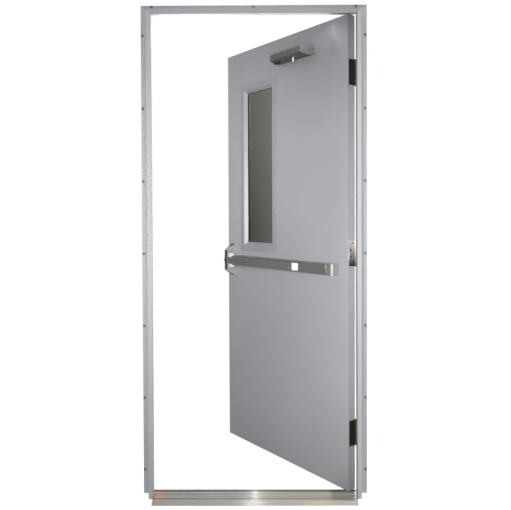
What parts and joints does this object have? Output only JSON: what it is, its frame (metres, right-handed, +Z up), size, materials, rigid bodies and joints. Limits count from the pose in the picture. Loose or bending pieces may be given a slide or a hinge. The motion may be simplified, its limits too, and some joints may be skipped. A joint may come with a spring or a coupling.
{
  "type": "fire door",
  "caption": "Outward-opening steel exit door in a flanged frame with a fluted threshold, a narrow glazed lite, butt hinges, a push bar with a rim latch and an overhead closer body.",
  "frame": {"origin": "on the floor, midway between the jambs, in the plane where the flange meets the wall", "axes": "+X to the hinge side, +Y out of doors, +Z up"},
  "size_m": [1.003, 0.8276, 2.1785],
  "materials": {
    "frame_aluminium": "mill finish with faint draw lines",
    "threshold_aluminium": "mill finish, fluted and scuffed",
    "plated_steel": "zinc plated",
    "screw_steel": "zinc plated",
    "seal_rubber": "matt",
    "hinge_steel": "satin",
    "leaf_paint": "grey primer, smooth and matt",
    "core_board": "raw board",
    "lite_glass": "clear, with a slight grey-green tint",
    "glazing_tape": "matt",
    "bar_metal": "grey anodised",
    "bar_casting": "grey, slightly glossy",
    "latch_steel": "satin",
    "closer_paint": "grey hammered paint",
    "black_plug": "matt"
  },
  "bodies": {
    "frame": {"hinge_jamb": "frame_aluminium", "strike_jamb": "frame_aluminium", "head_jamb": "frame_aluminium", "corner_keys": "plated_steel", "threshold": "threshold_aluminium", "threshold_screws": "screw_steel", "hinge_side_seal": "seal_rubber", "strike_side_seal": "seal_rubber", "head_seal": "seal_rubber", "frame_hinge_leaf_bottom": "hinge_steel", "frame_hinge_leaf_middle": "hinge_steel", "frame_hinge_leaf_top": "hinge_steel", "hinge_pin_bottom": "hinge_steel", "hinge_pin_middle": "hinge_steel", "hinge_pin_top": "hinge_steel", "frame_hinge_plates": "plated_steel", "frame_hinge_screws": "screw_steel"},
    "leaf": {"push_face_sheet": "leaf_paint", "pull_face_sheet": "leaf_paint", "hinge_stile": "plated_steel", "lock_stile": "plated_steel", "top_channel": "plated_steel", "bottom_channel": "plated_steel", "door_core": "core_board", "door_hinge_leaf_bottom": "hinge_steel", "door_hinge_leaf_middle": "hinge_steel", "door_hinge_leaf_top": "hinge_steel", "door_hinge_plates": "plated_steel", "door_hinge_screws": "screw_steel", "inner_lite_frame": "leaf_paint", "outer_lite_frame": "leaf_paint", "lite_glass": "lite_glass", "glazing_tapes": "glazing_tape", "setting_blocks": "glazing_tape", "lite_bolts": "screw_steel", "bar_chassis": "plated_steel", "bar_head_cover": "bar_casting", "bar_rail": "bar_metal", "bar_rail_cover": "bar_metal", "bar_end_cap": "bar_casting", "bar_end_bracket": "plated_steel", "bar_screws": "screw_steel", "lock_back_plate": "plated_steel", "closer_plate": "closer_paint", "closer_body": "closer_paint", "closer_valve_screws": "screw_steel", "closer_spring_plug": "closer_paint", "closer_base_plug": "black_plug", "closer_screws": "screw_steel", "closer_back_plate": "plated_steel"},
    "push_pad": {"push_pad": "bar_metal", "push_pad_end": "bar_casting"},
    "latch": {"latch_bolt": "latch_steel"},
    "closer_spindle": {"closer_spindle": "latch_steel"}
  },
  "joints": [
    {"name": "leaf_swing", "type": "hinge", "parent": "frame", "child": "leaf", "pos_m": [0.4555, 0.0095, 1.076], "axis": [0, 0, -1], "range_deg": [-51, 124]},
    {"name": "pad_press", "type": "slide", "parent": "leaf", "child": "push_pad", "axis": [0.7771, 0.6293, 0], "range_m": [0, 0.015], "stiffness_N_per_m": 900},
    {"name": "latch_draw", "type": "slide", "parent": "leaf", "child": "latch", "axis": [0.6293, -0.7771, 0], "range_m": [0, 0.019], "stiffness_N_per_m": 300},
    {"name": "spindle_turn", "type": "hinge", "parent": "leaf", "child": "closer_spindle", "pos_m": [0.18626, 0.18448, 2], "axis": [0, 0, 1], "range_deg": [0, 170], "stiffness_Nm_per_rad": 2}
  ],
  "couplings": [
    {"joint": "latch_draw", "follows": "pad_press", "ratio": 1.26}
  ]
}
